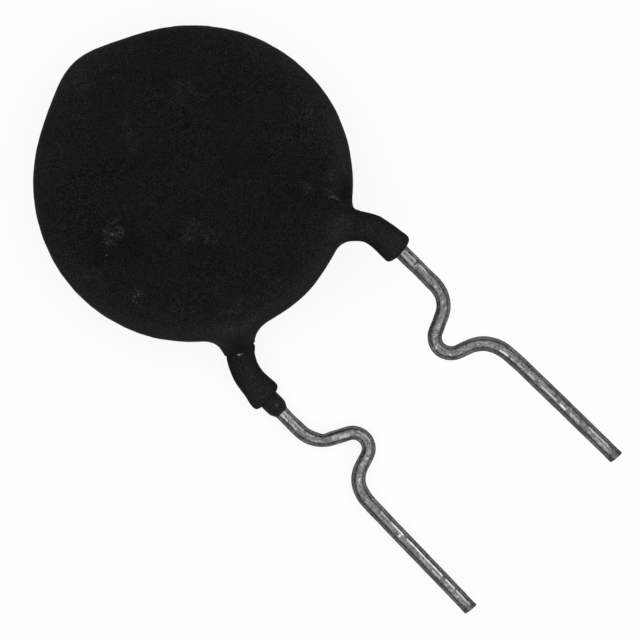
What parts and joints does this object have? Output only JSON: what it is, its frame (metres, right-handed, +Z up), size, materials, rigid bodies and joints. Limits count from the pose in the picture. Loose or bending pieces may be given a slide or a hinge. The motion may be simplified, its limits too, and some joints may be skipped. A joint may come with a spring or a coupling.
{
  "type": "inrush current limiter",
  "caption": "Round power thermistor in a dipped black coat with kinked tinned wire leads, for limiting inrush current.",
  "frame": {"origin": "under the middle of the whole part, on the surface that it lies on", "axes": "+X across the leads towards the front lead, +Y from the free ends of the leads to the coated disc, +Z up through the front face of the disc"},
  "size_m": [0.0308, 0.0645, 0.0096],
  "materials": {
    "outer_coat": "dipped black resin, dull, faintly mottled",
    "first_coat": "smooth black resin, slightly glossy",
    "thermistor_ceramic": "sintered dark metal oxide",
    "silver_film": "fired silver film, matt",
    "solder": "tin solder, smooth",
    "tinned_wire": "tinned copper wire, dull grey with bright drawn streaks"
  },
  "bodies": {
    "root": {"coating": "outer_coat", "first_coat": "first_coat", "thermistor_disc": "thermistor_ceramic", "electrode_front": "silver_film", "electrode_back": "silver_film", "solder_front": "solder", "solder_back": "solder", "lead_front": "tinned_wire", "lead_back": "tinned_wire"}
  },
  "joints": []
}
